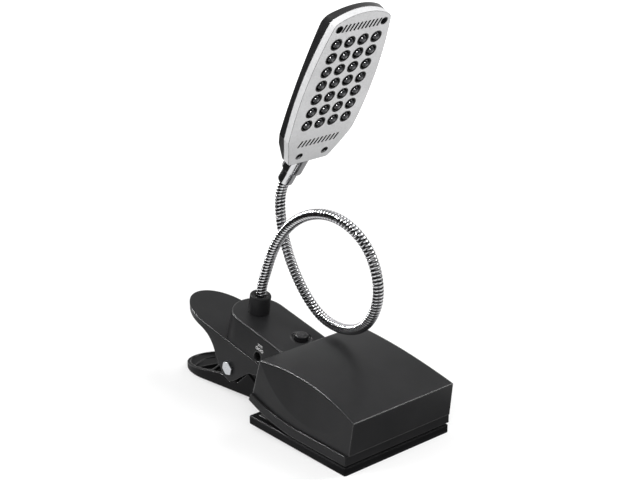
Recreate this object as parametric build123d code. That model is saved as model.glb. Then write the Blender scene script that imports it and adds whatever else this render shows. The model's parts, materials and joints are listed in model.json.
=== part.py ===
# Clip-on reading lamp: a sprung clip that carries a battery box, a switch housing, a looped
# gooseneck and a head of small LEDs behind a silver bezel. Sizes are in millimetres.
# Pieces are modelled in the clip's frame: x runs forward from the rear edge of the lower jaw plate,
# y runs across, z runs up from the plate's underside. The finished lamp is then set down on the
# plate's front edge and the heel of the lower handle, with the origin under its middle.
import math
import os

from build123d import *

# Lower jaw plate and the rubber pads of both jaws
plate_length = 84.0
plate_thick = 5.0
plate_edge = 0.6
pad_thick = 1.0
pad_recess = 0.6
pad_border = 4.0
jaw_gap = 1.2

# Levers and their pivot
lever_width = 37.6
lever_wall = 2.2
lever_floor = 2.2
pivot_back = 46.0
pivot_height = 12.2
ear_radius = 8.5
ear_thick = 3.0
ear_gap = 0.3
ear_clearance = 0.6
ear_spread = 11.9
bolt_radius = 2.5
bolt_play = 0.05
hex_across = 7.8
hex_height = 1.5
hex_crown = 4.25
hex_turn = 14.0
nut_height = 2.7

# Lower handle: its underside falls away behind the break, and its rim falls faster
lower_break = 24.0
lower_fall = 5.8
lower_run = 73.4
lower_reach = 105.5
lower_tip = 2.3
lower_rim_fall = 12.4
hump_back = 27.5
hump_height = 14.6
hump_foot = 12.0
rib_thick = 1.6
rib_drop = 1.2
rib_start = 67.0

# Upper lever: its top plane rises to the rear
lever_pitch = 10.3
lever_top = 21.6
upper_run = 69.0
upper_reach = 101.0
skirt_depth = 4.3
shoulder_back = 16.4
throat_round = 19.0
throat_back = 13.1
throat_rise = 4.0
heel_back = 10.6
heel_rise = 0.8
heel_drop = 1.7
notch_back = 27.0
notch_height = 15.5
notch_front = 19.0
notch_top = 16.7

# Torsion spring round the pivot
spring_radius = 5.3
spring_wire = 1.0
spring_pitch = 3.4
spring_turns = 4
spring_seat = 0.3
spring_knuckle = 1.15
spring_leg_back = 15.0

# Upper jaw flange
flange_thick = 6.0
flange_flat = 40.0
flange_radius = 130.0
flange_bow = 112.0
flange_ledge = 1.1
flange_floor = 2.5
flange_rim = 4.0

# Battery box cover
cover_lean = 14.9
cover_rear_top = 42.3
cover_front_top = 33.2
cover_overhang = 4.5
cover_crown = 4.1
cover_draft = 1.15
cover_side = 5.9
cover_wall = 2.2
cover_seam = 0.2
rear_wall = 2.0
scoop_depth = 2.4
scoop_drop = 20.5
scoop_inset = 0.6

# Battery tray and its four cells
cell_radius = 7.1
cell_length = 49.2
cell_nub = 1.3
cell_nub_radius = 2.75
cell_edge = 0.7
cell_count = 4
cell_gap = 0.7
cell_play = 0.2
tray_wall = 1.6
tray_room = 1.6
tray_rear = 12.5
contact_thick = 0.4
contact_spring = 3.2
contact_spring_radius = 4.4
contact_width = 12.9
contact_height = 10.6

# Switch housing on the lever
housing_height = 17.6
housing_half = 18.4
housing_draft = 4.7
housing_wall = 2.0
housing_edge = 0.8
housing_back = 42.0
gland_back = 43.2
gland_radius = 6.5
gland_height = 11.9
gland_stem = 4.4
gland_rim = 1.2
gland_round = 1.05
gland_nut_across = 12.0
gland_nut_height = 3.0
boss_back = 30.5
boss_side = 10.5
boss_radius = 3.0
screw_radius = 1.25
screw_head = 2.5
screw_head_height = 1.8
screw_bite = 9.0
screw_end = 1.0

# Push button, its switch, the board and the direct-current socket
button_back = 7.3
button_side = 3.8
button_radius = 4.0
button_play = 0.3
button_proud = 2.2
button_edge = 1.0
button_travel = 1.5
button_flange = 1.0
button_flange_depth = 1.0
dish_radius = 6.2
dish_depth = 1.0
stem_radius = 1.5
stem_length = 3.0
stem_play = 0.1
switch_side = 8.0
board_height = 8.0
board_thick = 1.2
board_length = 17.0
board_width = 15.0
post_radius = 1.8
socket_back = 19.7
socket_axis = 3.9
socket_bore = 3.0
socket_hole = 3.1
socket_pin = 1.0
socket_pin_length = 8.5
socket_depth = 9.5
socket_length = 11.5
socket_side = 9.5
socket_height = 7.6

# Gooseneck: route from the gland's mouth (forward, across, up), with the loop in the middle
neck_radius = 3.15
neck_hole = 1.5
neck_gap = 0.7
neck_seat = 0.05
neck_lead = 5.0
neck_depth = 8.0
neck_route = [
    (5.5, 0.0, 16.0),
    (11.0, 0.0, 30.0),
    (19.5, 0.0, 43.5),
    (30.5, 0.5, 55.0),
    (44.5, 1.0, 63.5),
    (60.5, 1.5, 67.5),
    (76.0, 2.5, 65.5),
    (89.0, 4.0, 57.0),
    (96.0, 5.5, 43.0),
    (96.0, 7.5, 27.0),
    (89.5, 9.5, 12.5),
    (78.5, 12.0, 1.0),
    (64.5, 15.0, -6.5),
    (49.0, 17.5, -10.5),
    (34.0, 18.5, -9.0),
    (22.5, 17.5, 0.0),
    (15.5, 14.5, 13.5),
    (11.5, 11.5, 28.0),
    (9.0, 9.5, 43.5),
    (8.5, 8.5, 57.5),
    (10.3, 8.5, 69.5),
]
neck_straight = 0.7

# Ferrule between the neck and the head
ferrule_lean = 34.9
ferrule_run = 6.4
ferrule_seat = 6.0
ferrule_small = 4.6
ferrule_small_length = 10.7
ferrule_large = 6.2
ferrule_large_length = 13.0
ferrule_groove = 0.5
ferrule_stem = 1.85
ferrule_bore = 0.9
ferrule_stem_length = 8.0
ferrule_brim = 1.5
ferrule_nut_across = 8.0
ferrule_nut_height = 3.0

# Lamp head: its face looks forward and down, and its chin bends back
head_lean = 25.9
head_top = 47.0
head_shoulder = 41.5
head_shoulder_half = 19.8
head_half = 25.3
head_hip = 39.0
head_hip_half = 23.2
head_chin = 59.5
head_chin_half = 14.5
head_corner = 5.0
chin_corner = 2.5
chin_start = 28.0
chin_radius = 200.0
chin_sweep = 14.0
stem_cover = 0.7
bezel_depth = 4.4
bezel_wall = 1.6
bezel_face = 1.0
shell_edge = 8.0
shell_crown = 14.0
shell_wall = 1.8
shell_boss = 6.8
shell_boss_length = 28.0
led_columns = 4
led_rows = 7
led_pitch_across = 9.5
led_pitch_up = 9.34
led_hole = 3.8
led_radius = 2.5
led_flange = 2.9
led_flange_height = 1.0
led_set_back = 0.8
holder_thick = 3.2
holder_hole = 3.2
cup_play = 0.1
cup_set_back = 0.15
holder_half_width = 18.6
holder_half_height = 33.0
led_board_thick = 1.6
led_board_trim = 7.0
head_screw_top = 38.2
head_screw_top_half = 16.0
head_screw_chin = 53.0
head_screw_chin_half = 9.4
head_screw_radius = 1.2
head_screw_head = 2.0
head_screw_recess = 2.3
head_screw_sink = 1.0
head_screw_cross = 2.6
head_screw_slot = 0.7
head_screw_slot_depth = 0.8
head_screw_seat = 0.4
head_screw_reach = 7.8
vent_count = 10
vent_width = 1.1
vent_length = 5.0
vent_top_half = 12.4
vent_chin_half = 13.2
vent_chin = 42.5
vent_slant = 20.0

# Worked-out places
lever_half = lever_width / 2
pivot_x = -pivot_back
slope = math.tan(math.radians(lever_pitch))
cell_pitch = 2 * cell_radius + cell_gap
tray_half = cell_pitch * cell_count / 2 + tray_wall
cavity_half = tray_half + tray_room
cover_half_base = cavity_half + cover_side
cover_half_top = cover_half_base - cover_draft
plate_width = 2 * (cover_half_base + flange_ledge)
flange_base = plate_thick + jaw_gap
flange_bows = (flange_radius, flange_radius)
under_bows = (flange_bow, flange_bow)
flange_turn = plate_length - flange_flat
chin_fall = chin_radius - math.sqrt(chin_radius ** 2 - (head_chin - chin_start) ** 2)
head_set_back = chin_fall + bezel_depth + stem_cover + ferrule_stem + bolt_play
tall = 200.0
overrun = 1.0


def pivot_at(back: float, up: float) -> tuple:
    """Point in the side view at a distance behind and above the pivot."""
    return (pivot_x - back, pivot_height + up)


def lever_top_at(x: float) -> float:
    """Height of the upper lever's top plane."""
    return lever_top - slope * x


def underside_at(x: float) -> float:
    """Height of the lower lever's underside, level up to the break and then falling."""
    return min(0.0, (x + lower_break) * math.tan(math.radians(lower_fall)))


def lever_frame() -> Plane:
    """Frame on the upper lever's top plane: x along the lever, z square to it."""
    pitch = math.radians(lever_pitch)
    along = (math.cos(pitch), 0, -math.sin(pitch))
    square = (math.sin(pitch), 0, math.cos(pitch))
    return Plane((0, 0, lever_top), x_dir=along, z_dir=square)


def side(points: list) -> Face:
    """Face in the side view with straight edges through (x, z) points."""
    return Plane.XZ * make_face(Polyline(*points, close=True))


def across(face: Face, half: float) -> Part:
    """Side-view face carried across the lamp to both sides."""
    return extrude(face, half, both=True)


def band(face: Face, inner: float, outer: float) -> Part:
    """Side-view face carried from one distance off the mid-plane to another, on both sides."""
    one = extrude(Plane((0, -inner, 0)) * face, outer - inner, dir=(0, -1, 0))
    return one + mirror(one, about=Plane.XZ)


def lever_plan(half: float, run: float, reach: float, front: float) -> Part:
    """Upright block with straight sides and a half-elliptical rear end."""
    straight = Pos((front - run) / 2, 0) * Rectangle(front + run, 2 * half)
    end = Pos(-run, 0) * Ellipse(reach - run, half)
    return extrude(straight + end, tall, both=True)


def flange_curve(lift: float, bow: float = flange_radius) -> list:
    """Edges of the flange's side view at a height above its flat underside, from front to rear."""
    level = flange_base + lift
    flat = Line((plate_length, level), (flange_turn, level))
    angle = math.degrees(math.asin(flange_turn / bow))
    bend = CenterArc((flange_turn, flange_base + bow), bow - lift, -90, -angle)
    return [flat, bend]


def flange_band(low: float, high: float, inset: float, half: float, bows: tuple = flange_bows) -> Part:
    """Layer of the flange between two heights above its underside, set in from its ends and sides."""
    under, upper = flange_curve(low, bows[0]), flange_curve(high, bows[1])
    front = Line(under[0] @ 0, upper[0] @ 0)
    rear = Line(under[1] @ 1, upper[1] @ 1)
    layer = across(Plane.XZ * make_face(under + upper + [front, rear]), half)
    keep = Pos(plate_length / 2, 0, 0) * Box(plate_length - 2 * inset, 2 * half, tall)
    return layer & keep if inset else layer


def flange_rear() -> Vector:
    """Upper rear corner of the flange in the side view."""
    return flange_curve(flange_thick)[1] @ 1


def rear_face() -> Plane:
    """Leaning plane of the battery box's rear, facing back and up."""
    lean = math.radians(cover_lean)
    corner = flange_rear()
    return Plane((corner.X, 0, corner.Y), x_dir=(0, 1, 0), z_dir=(-math.cos(lean), 0, math.sin(lean)))


def rear_x(height: float) -> float:
    """Distance forward of the battery box's rear plane at a height."""
    return flange_rear().X + (height - flange_rear().Y) * math.tan(math.radians(cover_lean))


def rear_slab(depth: float, half: float) -> Part:
    """Block from the box's rear plane forward."""
    return Location(rear_face()) * Pos(0, 0, -depth / 2) * Box(2 * half, tall, depth)


def cover_profile(inset: float) -> Face:
    """Side view of the battery box: leaning rear, arched top and overhanging front."""
    rear = Vector(rear_x(cover_rear_top), cover_rear_top - inset)
    front = Vector(plate_length + cover_overhang - inset, cover_front_top - inset)
    chord = front - rear
    rise = Vector(-chord.Y, chord.X).normalized() * cover_crown
    crown = (rear + front) * 0.5 + rise
    toe = Vector(plate_length - inset, 0)
    heel = Vector(rear_x(0), 0) if not inset else Vector(-tall, 0)
    back = rear if not inset else Vector(-tall, rear.Y)
    edges = [ThreePointArc(rear, crown, front), Line(front, toe), Line(toe, heel), Line(heel, back)]
    if inset:
        edges.append(Line(back, rear))
    return Plane.XZ * make_face(edges)


def cavity(clear: float) -> Part:
    """Room inside the battery cover, open at the rear and below, less a clearance."""
    return across(cover_profile(cover_wall + clear), cavity_half - clear)


def hexagon(across_flats: float, height: float, bore: float) -> Part:
    """Hexagonal prism standing on its frame, with an optional hole."""
    prism = extrude(RegularPolygon(across_flats / 2, 6, major_radius=False), height)
    return prism - Pos(0, 0, height / 2) * Cylinder(bore, height) if bore else prism


def rod(radius: float, length: float) -> Part:
    """Cylinder standing on its frame."""
    return Pos(0, 0, length / 2) * Cylinder(radius, length)


def pivot_cylinder(radius: float, width: float) -> Part:
    """Cylinder across the lamp on the pivot's axis."""
    return Pos(pivot_x, 0, pivot_height) * Rot(90, 0, 0) * Cylinder(radius, width)


# Clip


def lower_jaw() -> Part:
    """Jaw plate, ribbed tray handle and the inner ears that hold the pivot bolt."""
    plate = Pos(plate_length / 2, 0, plate_thick / 2) * Box(plate_length, plate_width, plate_thick)
    plate = fillet(plate.edges().filter_by(Axis.Z), plate_edge * 2)
    plate = chamfer(plate.faces().sort_by(Axis.Z)[-1].edges(), plate_edge)
    tip_under = underside_at(-lower_reach)
    rim_fall = math.tan(math.radians(lower_rim_fall))
    throat = -pivot_back - ear_radius
    throat_rim = tip_under + lower_tip + (lower_reach + throat) * rim_fall
    outline = side([
        (plate_edge + pad_border, 0), (-lower_break, 0), (-lower_reach, tip_under),
        (-lower_reach, tip_under + lower_tip), (throat, throat_rim), (pivot_x + ear_radius, throat_rim),
        (-hump_back, hump_height), (-hump_foot, plate_thick), (plate_edge + pad_border, plate_thick),
    ])
    outer = across(outline, lever_half) & lever_plan(lever_half, lower_run, lower_reach, plate_length)
    inner = lever_plan(lever_half - lever_wall, lower_run, lower_reach - lever_wall, -hump_foot)
    above_floor = side([
        (0, lever_floor), (-lower_break, lever_floor), (-lower_reach, tip_under + lever_floor),
        (-lower_reach, tall), (0, tall),
    ])
    tray = outer - (inner & across(above_floor, lever_half))
    swing = Plane.XZ * Pos(pivot_x, pivot_height) * Circle(ear_radius + ear_clearance)
    tray -= band(swing, lever_half - ear_thick - ear_gap, lever_half + overrun)
    lever = plate + tray + handle_ribs(outer, inner) + inner_ears()
    lever -= pivot_cylinder(bolt_radius + bolt_play / 2, lever_width)
    return lever - Pos(plate_length / 2, 0, plate_thick - pad_recess / 2) * pad_block(pad_recess)


def pad_block(thick: float) -> Part:
    """Block with the outline of a grip pad."""
    return Box(plate_length - 2 * pad_border, plate_width - 2 * pad_border, thick)


def handle_ribs(outer: Part, inner: Part) -> Part:
    """Two crossed pairs of stiffening ribs in the tray handle, kept below its rim."""
    length = (lower_reach - rib_start) / 2
    turn = math.degrees(math.atan2(lever_width, length))
    ribs = Part()
    for bay in range(2):
        centre = Pos(-rib_start - length * (bay + 0.5), 0, 0)
        for sense in (-1, 1):
            ribs += centre * Rot(0, 0, sense * turn) * Box(lever_width * 2, rib_thick, tall)
    bays = Pos(-(rib_start + lower_reach) / 2, 0, 0) * Box(lower_reach - rib_start, lever_width, tall)
    return ribs & bays & inner & outer & (Pos(0, 0, -rib_drop) * outer)


def inner_ears() -> Part:
    """Ears of the lower lever, just inside those of the upper lever, standing on the tray's floor."""
    ends = (pivot_x - ear_spread, pivot_x + ear_spread)
    foot = [(x, underside_at(x) + lever_floor / 2) for x in ends]
    top = ear_radius - ear_clearance
    ear = side([foot[0], foot[1], (pivot_x + top, pivot_height), (pivot_x - top, pivot_height)])
    ear += Plane.XZ * Pos(pivot_x, pivot_height) * Circle(top)
    outer = lever_half - ear_thick - ear_gap
    return band(ear, outer - ear_thick, outer)


def lower_grip_pad() -> Part:
    """Rubber sheet set into the lower jaw plate."""
    return Pos(plate_length / 2, 0, plate_thick - pad_recess + pad_thick / 2) * pad_block(pad_thick)


def upper_jaw() -> Part:
    """Upper lever with its skirt and ears, the jaw flange and the rear wall of the battery box."""
    body = upper_lever() + flange()
    wall = rear_slab(rear_wall, cavity_half - cover_seam) & cavity(cover_seam)
    body += wall - flange_band(-tall / 8, 0, 0, cavity_half, under_bows)
    frame = Location(lever_frame())
    for spot in board_posts():
        body += frame * Pos(spot[0], spot[1], board_height / 2) * Cylinder(post_radius, board_height)
    for hand in (-1, 1):
        hole = Cylinder(screw_radius + bolt_play, 4 * lever_floor)
        body -= frame * Pos(-boss_back, hand * boss_side, 0) * hole
    return body


def upper_lever() -> Part:
    """Hollow lever, open below, with a rounded ear on each side round the pivot."""
    nose = rear_x(lever_top)
    shoulder = pivot_x - shoulder_back
    climb = math.atan2(notch_height - pivot_height, pivot_back - notch_back)
    reach = math.hypot(notch_height - pivot_height, pivot_back - notch_back)
    angle = climb - math.acos(ear_radius / reach)
    touch = (pivot_x + ear_radius * math.cos(angle), pivot_height + ear_radius * math.sin(angle))
    crook = (shoulder, lever_top_at(shoulder) - skirt_depth)
    points = [
        (nose, lever_top_at(nose)), (-upper_reach, lever_top_at(-upper_reach)),
        (-upper_reach, lever_top_at(-upper_reach) - skirt_depth), crook,
        pivot_at(throat_back, throat_rise), pivot_at(heel_back, heel_rise), pivot_at(heel_back, -heel_drop),
        (pivot_x, pivot_height), touch,
        (-notch_back, notch_height), (-notch_front, notch_top), (nose, flange_base + flange_thick),
    ]
    face = make_face(Polyline(*points, close=True))
    face = fillet(face.vertices().sort_by_distance(crook)[0], throat_round)
    outline = Plane.XZ * (face + Pos(pivot_x, pivot_height) * Circle(ear_radius))
    outer = across(outline, lever_half) & lever_plan(lever_half, upper_run, upper_reach, plate_length)
    outer -= flange_band(-tall / 8, 0, 0, lever_half, under_bows)
    inner = lever_plan(lever_half - lever_wall, upper_run, upper_reach - lever_wall, -lever_wall)
    drop = lever_floor / math.cos(math.radians(lever_pitch))
    roof = [(x, lever_top_at(x) - drop) for x in (0, -upper_reach)]
    room = side(roof + [(-upper_reach, -tall), (0, -tall)])
    lever = outer - (inner & across(room, lever_half))
    ear = Plane.XZ * Pos(pivot_x, pivot_height) * Circle(ear_radius)
    lever += band(ear, lever_half - ear_thick, lever_half)
    return lever - pivot_cylinder(bolt_radius + bolt_play, lever_width + 2 * overrun)


def flange() -> Part:
    """Curved jaw flange with a shallow well for the battery tray and a recess for its pad."""
    half = plate_width / 2
    plate = flange_band(0, flange_thick, 0, half, (flange_bow, flange_radius))
    well = flange_band(flange_floor, flange_thick + overrun, flange_rim, tray_half + cover_seam)
    recess = flange_band(-overrun, pad_recess, pad_border, half - pad_border, under_bows)
    return plate - well - recess


def upper_grip_pad() -> Part:
    """Rubber sheet that follows the flange's curved underside."""
    half = plate_width / 2 - pad_border
    return flange_band(pad_recess - pad_thick, pad_recess, pad_border, half, under_bows)


def pivot_bolt() -> Part:
    """Hex-head bolt through both pairs of ears, with its head on the near side."""
    head_face = lever_half + ear_gap / 2
    shank = head_face + lever_half + ear_gap / 2 + nut_height
    bolt = hexagon(hex_across, hex_height, 0) + Pos(0, 0, -shank / 2) * Cylinder(bolt_radius, shank)
    crown = Pos(0, 0, hex_height / 2) * Cone(hex_crown + hex_height, hex_crown, hex_height)
    bolt = bolt & (crown + Pos(0, 0, -shank / 2) * Cylinder(hex_across, shank))
    return Pos(pivot_x, -head_face, pivot_height) * Rot(90, 0, 0) * Rot(0, 0, hex_turn) * bolt


def pivot_nut() -> Part:
    """Thin hex nut on the far end of the pivot bolt."""
    nut = hexagon(hex_across, nut_height, bolt_radius + bolt_play / 2)
    return Pos(pivot_x, lever_half + ear_gap / 2, pivot_height) * Rot(-90, 0, 0) * nut


def torsion_spring() -> Part:
    """Coil round the pivot with one leg under the upper lever and one on the tray's floor."""
    length = spring_pitch * (spring_turns + 0.5)
    coil = Helix(spring_pitch, length, spring_radius)
    wire = sweep(Plane(coil @ 0, z_dir=coil % 0) * Circle(spring_wire), path=coil)
    wire = Pos(pivot_x, length / 2, pivot_height) * Rot(90, 0, 0) * Rot(0, 0, -90) * wire
    back = pivot_x - spring_leg_back
    roof = lever_top_at(back) - lever_floor / math.cos(math.radians(lever_pitch))
    floor = underside_at(back) + lever_floor
    legs = [
        (length / 2, -spring_radius, floor + spring_wire + spring_seat),
        (-length / 2, spring_radius, roof - spring_wire - 2 * spring_seat),
    ]
    for y, rise, height in legs:
        leg = Line((pivot_x, y, pivot_height + rise), (back, y, height))
        wire += Pos(leg @ 0) * Sphere(spring_knuckle)
        wire += sweep(Plane(leg @ 0, z_dir=leg % 0) * Circle(spring_wire), path=leg)
    return wire


# Battery box


def battery_cover() -> Part:
    """Arched cover with drafted sides, a lens-shaped finger scoop in each and an open rear."""
    outer = across(cover_profile(0), cover_half_base)
    rise = cover_rear_top + cover_crown
    draft = (cover_half_base - cover_half_top) / (cover_rear_top - flange_base)
    low, high = flange_base, rise + cover_crown
    halves = [(z, cover_half_base - draft * (z - flange_base)) for z in (low, high)]
    section = [(-halves[0][1], low), (halves[0][1], low), (halves[1][1], high), (-halves[1][1], high)]
    sides = extrude(Plane.YZ * make_face(Polyline(*section, close=True)), tall, both=True)
    outer = (outer & sides) - flange_band(-tall / 4, flange_thick + cover_seam, 0, plate_width)
    sill = 2 * (flange_base + flange_thick + cover_seam)
    outer -= Pos(plate_length + tall / 2, 0, 0) * Box(tall, 2 * plate_width, sill)
    scoop = finger_scoop(draft)
    return outer - cavity(0) - scoop - mirror(scoop, about=Plane.XZ)


def finger_scoop(draft: float) -> Part:
    """Large ball let into the near side, its rim a round line between the two upper corners."""
    rear = Vector(rear_x(cover_rear_top), 0, cover_rear_top)
    front = Vector(plate_length + cover_overhang, 0, cover_front_top)
    chord = front - rear
    middle = (rear + front) * 0.5
    half = chord.length / 2 - scoop_inset
    rim = (half ** 2 + scoop_drop ** 2) / (2 * scoop_drop)
    above = rim - scoop_drop
    radius = (rim ** 2 - (above - cover_crown) ** 2) / (2 * scoop_depth)
    wall = cover_half_base - draft * (middle.Z - flange_base)
    frame = Plane((middle.X, -wall, middle.Z), x_dir=chord, z_dir=(0, -1, draft))
    return Location(frame) * Pos(0, above, math.sqrt(radius ** 2 - rim ** 2)) * Sphere(radius)


def tray_span() -> tuple:
    """Front and rear of the battery tray's inside, and the height of its cells' axes."""
    rear = tray_rear + tray_wall
    front = rear + 2 * contact_thick + contact_spring + cell_length + cell_nub
    bend = math.sqrt((flange_radius - flange_floor) ** 2 - (flange_turn - tray_rear) ** 2)
    floor = flange_base + flange_radius - bend
    return rear, front, floor + tray_wall + cell_radius + cell_play


def cell_rows() -> list:
    """Places across of the cells."""
    return [(k - (cell_count - 1) / 2) * cell_pitch for k in range(cell_count)]


def battery_tray() -> Part:
    """Walled tray with a floor and two cradle ribs that take the cells' curve."""
    rear, front, axis = tray_span()
    length = front - rear
    half = tray_half
    deck = axis - cell_radius - cell_play
    saddle = cell_radius / 2 + cell_play
    place = Pos((rear + front) / 2, 0, 0)
    height = axis - flange_base
    tray = place * Pos(0, 0, axis - height / 2) * Box(length + 2 * tray_wall, 2 * half, height)
    well = Box(length, 2 * (half - tray_wall), tall)
    tray -= place * Pos(0, 0, deck + tall / 2) * well
    tray -= place * Pos(0, 0, deck - tray_wall - tall / 2) * well
    for share in (-0.25, 0.25):
        tray += place * Pos(share * length, 0, deck + saddle / 2) * Box(tray_wall, 2 * half, saddle)
    for y in cell_rows():
        tray -= place * Pos(0, y, axis) * Rot(0, 90, 0) * Cylinder(cell_radius + cell_play, length)
    return tray - flange_band(-tall / 4, flange_floor, 0, plate_width)


def battery_cells() -> Compound:
    """Round cells lying side by side, turned end for end in pairs."""
    rear, front, axis = tray_span()
    cells = []
    for index, y in enumerate(cell_rows()):
        cell = rod(cell_radius, cell_length) + Pos(0, 0, cell_length) * rod(cell_nub_radius, cell_nub)
        cell = fillet(cell.edges().group_by(Axis.Z)[0], cell_edge)
        if index % 2:
            cells.append(Pos(rear + contact_thick + contact_spring, y, axis) * Rot(0, 90, 0) * cell)
        else:
            cells.append(Pos(front - contact_thick - contact_spring, y, axis) * Rot(0, -90, 0) * cell)
    return Compound(cells)


def battery_contacts() -> Compound:
    """Plated contact strips on both end walls, with a conical spring for each cell's flat end."""
    rear, front, axis = tray_span()
    strips = []
    for index, y in enumerate(cell_rows()):
        for end, sense in ((rear, 1), (front, -1)):
            strip = Box(contact_thick, contact_width, contact_height)
            strip = Pos(end + sense * contact_thick / 2, y, axis) * strip
            flat_end = (sense > 0) == bool(index % 2)
            if flat_end:
                cone = Cone(contact_spring_radius, cell_nub_radius, contact_spring)
                seat = Pos(end + sense * contact_thick, y, axis) * Rot(0, sense * 90, 0)
                strip += seat * Pos(0, 0, contact_spring / 2) * cone
            strips.append(strip)
    return Compound(strips)


# Switch housing and what it holds


def housing_block(inset: float, height: float) -> Part:
    """Drafted block with a round rear end, standing on the lever."""
    half = housing_half - inset
    front = housing_height * 2
    straight = Pos((front - housing_back) / 2, 0) * Rectangle(front + housing_back, 2 * half)
    return extrude(straight + Pos(-housing_back, 0) * Circle(half), height, taper=housing_draft)


def switch_housing() -> Part:
    """Hollow housing with holes for the gland, the button and the socket, and two screw bosses."""
    roof = housing_height - housing_wall
    shell = housing_block(0, housing_height) - housing_block(housing_wall, roof)
    top = shell.faces().sort_by(Axis.Z)[-1]
    shell = fillet(top.edges(), housing_edge)
    for hand in (-1, 1):
        spot = Pos(-boss_back, hand * boss_side, 0)
        shell += spot * (rod(boss_radius, roof) - rod(screw_radius + bolt_play, screw_bite))
    dish = Pos(-button_back, button_side, housing_height)
    shell -= dish * Cylinder(dish_radius, 2 * dish_depth)
    shell -= dish * Cylinder(button_radius + button_play, 4 * housing_wall)
    shell -= Pos(-gland_back, 0, housing_height) * Cylinder(gland_stem + bolt_play, 4 * housing_wall)
    hole = Rot(90, 0, 0) * Cylinder(socket_hole, 3 * housing_wall)
    shell -= Pos(-socket_back, -housing_half, socket_axis) * hole
    return Location(lever_frame()) * shell - rear_slab(tall, tall)


def gland_profile() -> Face:
    """Half section of the neck gland: stem, collar with a rounded rim and a dished mouth."""
    bore = neck_radius + neck_seat
    foot = -housing_wall - gland_nut_height
    points = [
        (bore, foot), (gland_stem, foot), (gland_stem, 0),
        (gland_radius, 0), (gland_radius, gland_height), (gland_radius - 2 * gland_rim, gland_height),
        (bore + gland_rim / 2, gland_height - gland_rim), (bore, gland_height - gland_rim),
    ]
    face = make_face(Polyline(*points, close=True))
    return Plane.XZ * fillet(face.vertices().group_by(Axis.Y)[-1], gland_round)


def gland_place() -> Location:
    """Seat of the neck gland on the housing's top."""
    return Location(lever_frame()) * Pos(-gland_back, 0, housing_height)


def neck_gland() -> Part:
    """Turned collar that the neck comes out of."""
    return gland_place() * revolve(gland_profile(), Axis.Z)


def gland_nut() -> Part:
    """Hex nut that holds the gland from inside the housing."""
    nut = hexagon(gland_nut_across, gland_nut_height, gland_stem + bolt_play)
    return gland_place() * Pos(0, 0, -housing_wall - gland_nut_height) * nut


def power_button() -> Part:
    """Round push button with a retaining flange and a stem into the switch."""
    roof = housing_height - housing_wall
    base = roof - button_play - button_flange_depth
    cap = rod(button_radius, housing_height + button_proud - base)
    cap = fillet(cap.faces().sort_by(Axis.Z)[-1].edges(), button_edge)
    cap += rod(button_radius + button_flange, button_flange_depth)
    cap += Pos(0, 0, -stem_length) * rod(stem_radius, stem_length)
    return Location(lever_frame()) * Pos(-button_back, button_side, base) * cap


def board_posts() -> list:
    """Feet of the control board along and across the lever."""
    x = -button_back - board_length / 2 + post_radius
    spread = board_width / 2 - post_radius
    return [(x, button_side - spread), (x, button_side + spread)]


def control_board() -> Part:
    """Small circuit board on its posts."""
    board = Pos(-button_back, button_side, board_height + board_thick / 2)
    board *= Box(board_length, board_width, board_thick)
    return Location(lever_frame()) * board - rear_slab(tall, tall)


def switch_module() -> Part:
    """Square switch body on the board with a bore for the button's stem."""
    base = board_height + board_thick
    button_base = housing_height - housing_wall - button_play - button_flange_depth
    height = button_base - button_travel - stem_play - base
    body = Pos(0, 0, height / 2) * Box(switch_side, switch_side, height)
    body -= Pos(0, 0, stem_play) * rod(stem_radius + stem_play, height)
    return Location(lever_frame()) * Pos(-button_back, button_side, base) * body


def dc_socket() -> Part:
    """Socket block on the lever behind the housing's hole, with a bore and a centre pin."""
    face = housing_half - housing_wall - socket_height * math.tan(math.radians(housing_draft))
    middle = Pos(-socket_back, -face + socket_length / 2, socket_height / 2)
    block = middle * Box(socket_side, socket_length, socket_height)
    mouth = Pos(-socket_back, -face, socket_axis) * Rot(-90, 0, 0)
    block -= mouth * rod(socket_bore, socket_depth)
    pin = Pos(0, 0, socket_depth - socket_pin_length) * rod(socket_pin, socket_pin_length)
    return Location(lever_frame()) * (block + mouth * pin)


def housing_screws() -> Compound:
    """Screws from inside the lever up into the housing's bosses."""
    screws = []
    for hand in (-1, 1):
        screw = rod(screw_radius, screw_bite + lever_floor - screw_end)
        screw += Pos(0, 0, -screw_head_height) * rod(screw_head, screw_head_height)
        screws.append(Location(lever_frame()) * Pos(-boss_back, hand * boss_side, -lever_floor) * screw)
    return Compound(screws)


# Gooseneck


def gland_axis() -> Vector:
    """Direction in which the neck leaves the gland."""
    place = gland_place()
    return (place * Pos(0, 0, 1)).position - place.position


def neck_mouth() -> Vector:
    """Middle of the gland's upper end, where the neck comes out."""
    return gland_place().position + gland_axis() * gland_height


def neck_points() -> list:
    """Corners of the neck's route, from inside the gland to inside the ferrule."""
    mouth = neck_mouth()
    route = [mouth - gland_axis() * neck_depth, mouth + gland_axis() * neck_lead]
    route += [mouth + Vector(*point) for point in neck_route]
    return route + [ferrule_base() + ferrule_axis() * ferrule_seat]


def ferrule_axis() -> Vector:
    """Direction of the ferrule, up into the head."""
    lean = math.radians(ferrule_lean)
    return Vector(math.sin(lean), 0, math.cos(lean))


def ferrule_base() -> Vector:
    """Middle of the ferrule's lower face, just past the route's last corner."""
    return neck_mouth() + Vector(*neck_route[-1]) + ferrule_axis() * ferrule_run


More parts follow.
